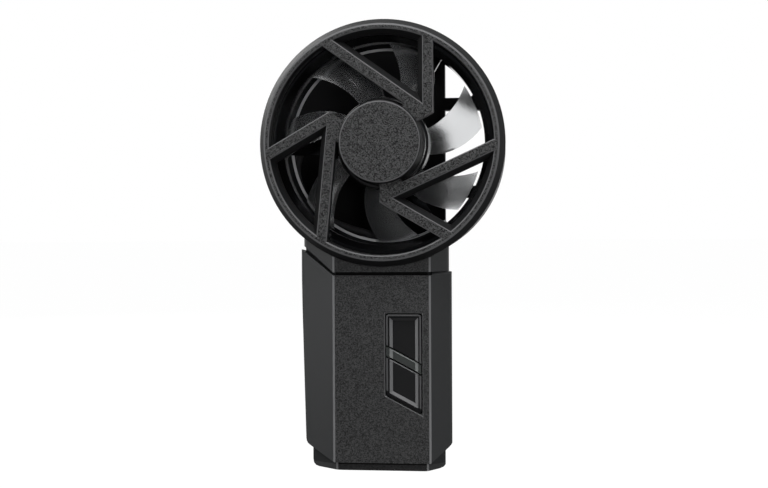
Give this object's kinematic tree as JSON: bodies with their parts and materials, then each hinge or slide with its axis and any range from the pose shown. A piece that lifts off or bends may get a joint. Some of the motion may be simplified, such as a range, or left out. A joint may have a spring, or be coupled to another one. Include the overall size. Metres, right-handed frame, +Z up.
{
  "type": "phone cooling fan",
  "caption": "Clip-on phone cooling fan: round bladed head with a V-armed grille over a faceted body with dished buttons and a sprung sliding jaw.",
  "frame": {"origin": "where the fan's axis meets the plane of the rear pads, which is the plane of the phone's back", "axes": "+Y points back into the phone along the fan's axis, +Z points up from the body to the fan head, +X is to the right seen from the front"},
  "size_m": [0.04, 0.0321, 0.0734],
  "materials": {
    "sparkle_black": "matte with fine metallic grain",
    "satin_black": "smooth satin",
    "gloss_black": "polished",
    "frosted_smoke": "frosted, lets light through",
    "steel": "plain",
    "dark_steel": "blackened",
    "magnet_grey": "matte",
    "bronze": "sintered",
    "copper_wire": "enamelled",
    "board_green": "solder mask",
    "pad_rubber": "matte",
    "strip_grey": "frosted light guide",
    "led_white": "clear lens",
    "cell_wrap": "foil"
  },
  "bodies": {
    "case": {"front_grille": "sparkle_black", "hub_cap": "sparkle_black", "fan_frame": "gloss_black", "bearing_sleeve": "bronze", "stator_core": "steel", "stator_coils": "copper_wire", "motor_board": "board_green", "head_housing": "satin_black", "rear_cover": "satin_black", "upper_jaw_pad": "pad_rubber", "head_pad": "pad_rubber", "body_front": "sparkle_black", "body_rear": "satin_black", "body_pad": "pad_rubber", "indicator_strip": "strip_grey", "indicator_led": "led_white", "main_board": "board_green", "tact_switches": "steel", "usb_socket": "steel", "battery_cell": "cell_wrap", "fan_lead": "pad_rubber", "jaw_springs": "steel", "cover_screws": "dark_steel", "body_screws": "dark_steel", "board_screws": "dark_steel"},
    "rotor": {"impeller": "frosted_smoke", "rotor_yoke": "steel", "rotor_magnet": "magnet_grey", "motor_shaft": "steel"},
    "upper_key": {"upper_button": "gloss_black"},
    "lower_key": {"lower_button": "gloss_black"},
    "jaw": {"lower_jaw": "satin_black", "lower_jaw_pad": "pad_rubber", "guide_rods": "steel", "rod_clips": "steel"}
  },
  "joints": [
    {"name": "fan_spin", "type": "hinge", "parent": "case", "child": "rotor", "pos_m": [0, -0.0155, 0], "axis": [0, -1, 0], "continuous": true},
    {"name": "upper_button_press", "type": "slide", "parent": "case", "child": "upper_key", "axis": [0, 1, 0], "range_m": [0, 0.0004], "stiffness_N_per_m": 400, "springref_m": -0.0005},
    {"name": "lower_button_press", "type": "slide", "parent": "case", "child": "lower_key", "axis": [0, 1, 0], "range_m": [0, 0.0004], "stiffness_N_per_m": 400, "springref_m": -0.0005},
    {"name": "jaw_slide", "type": "slide", "parent": "case", "child": "jaw", "axis": [0, 0, -1], "range_m": [0, 0.018], "stiffness_N_per_m": 150, "springref_m": -0.02, "deforming": ["jaw_springs"]}
  ]
}
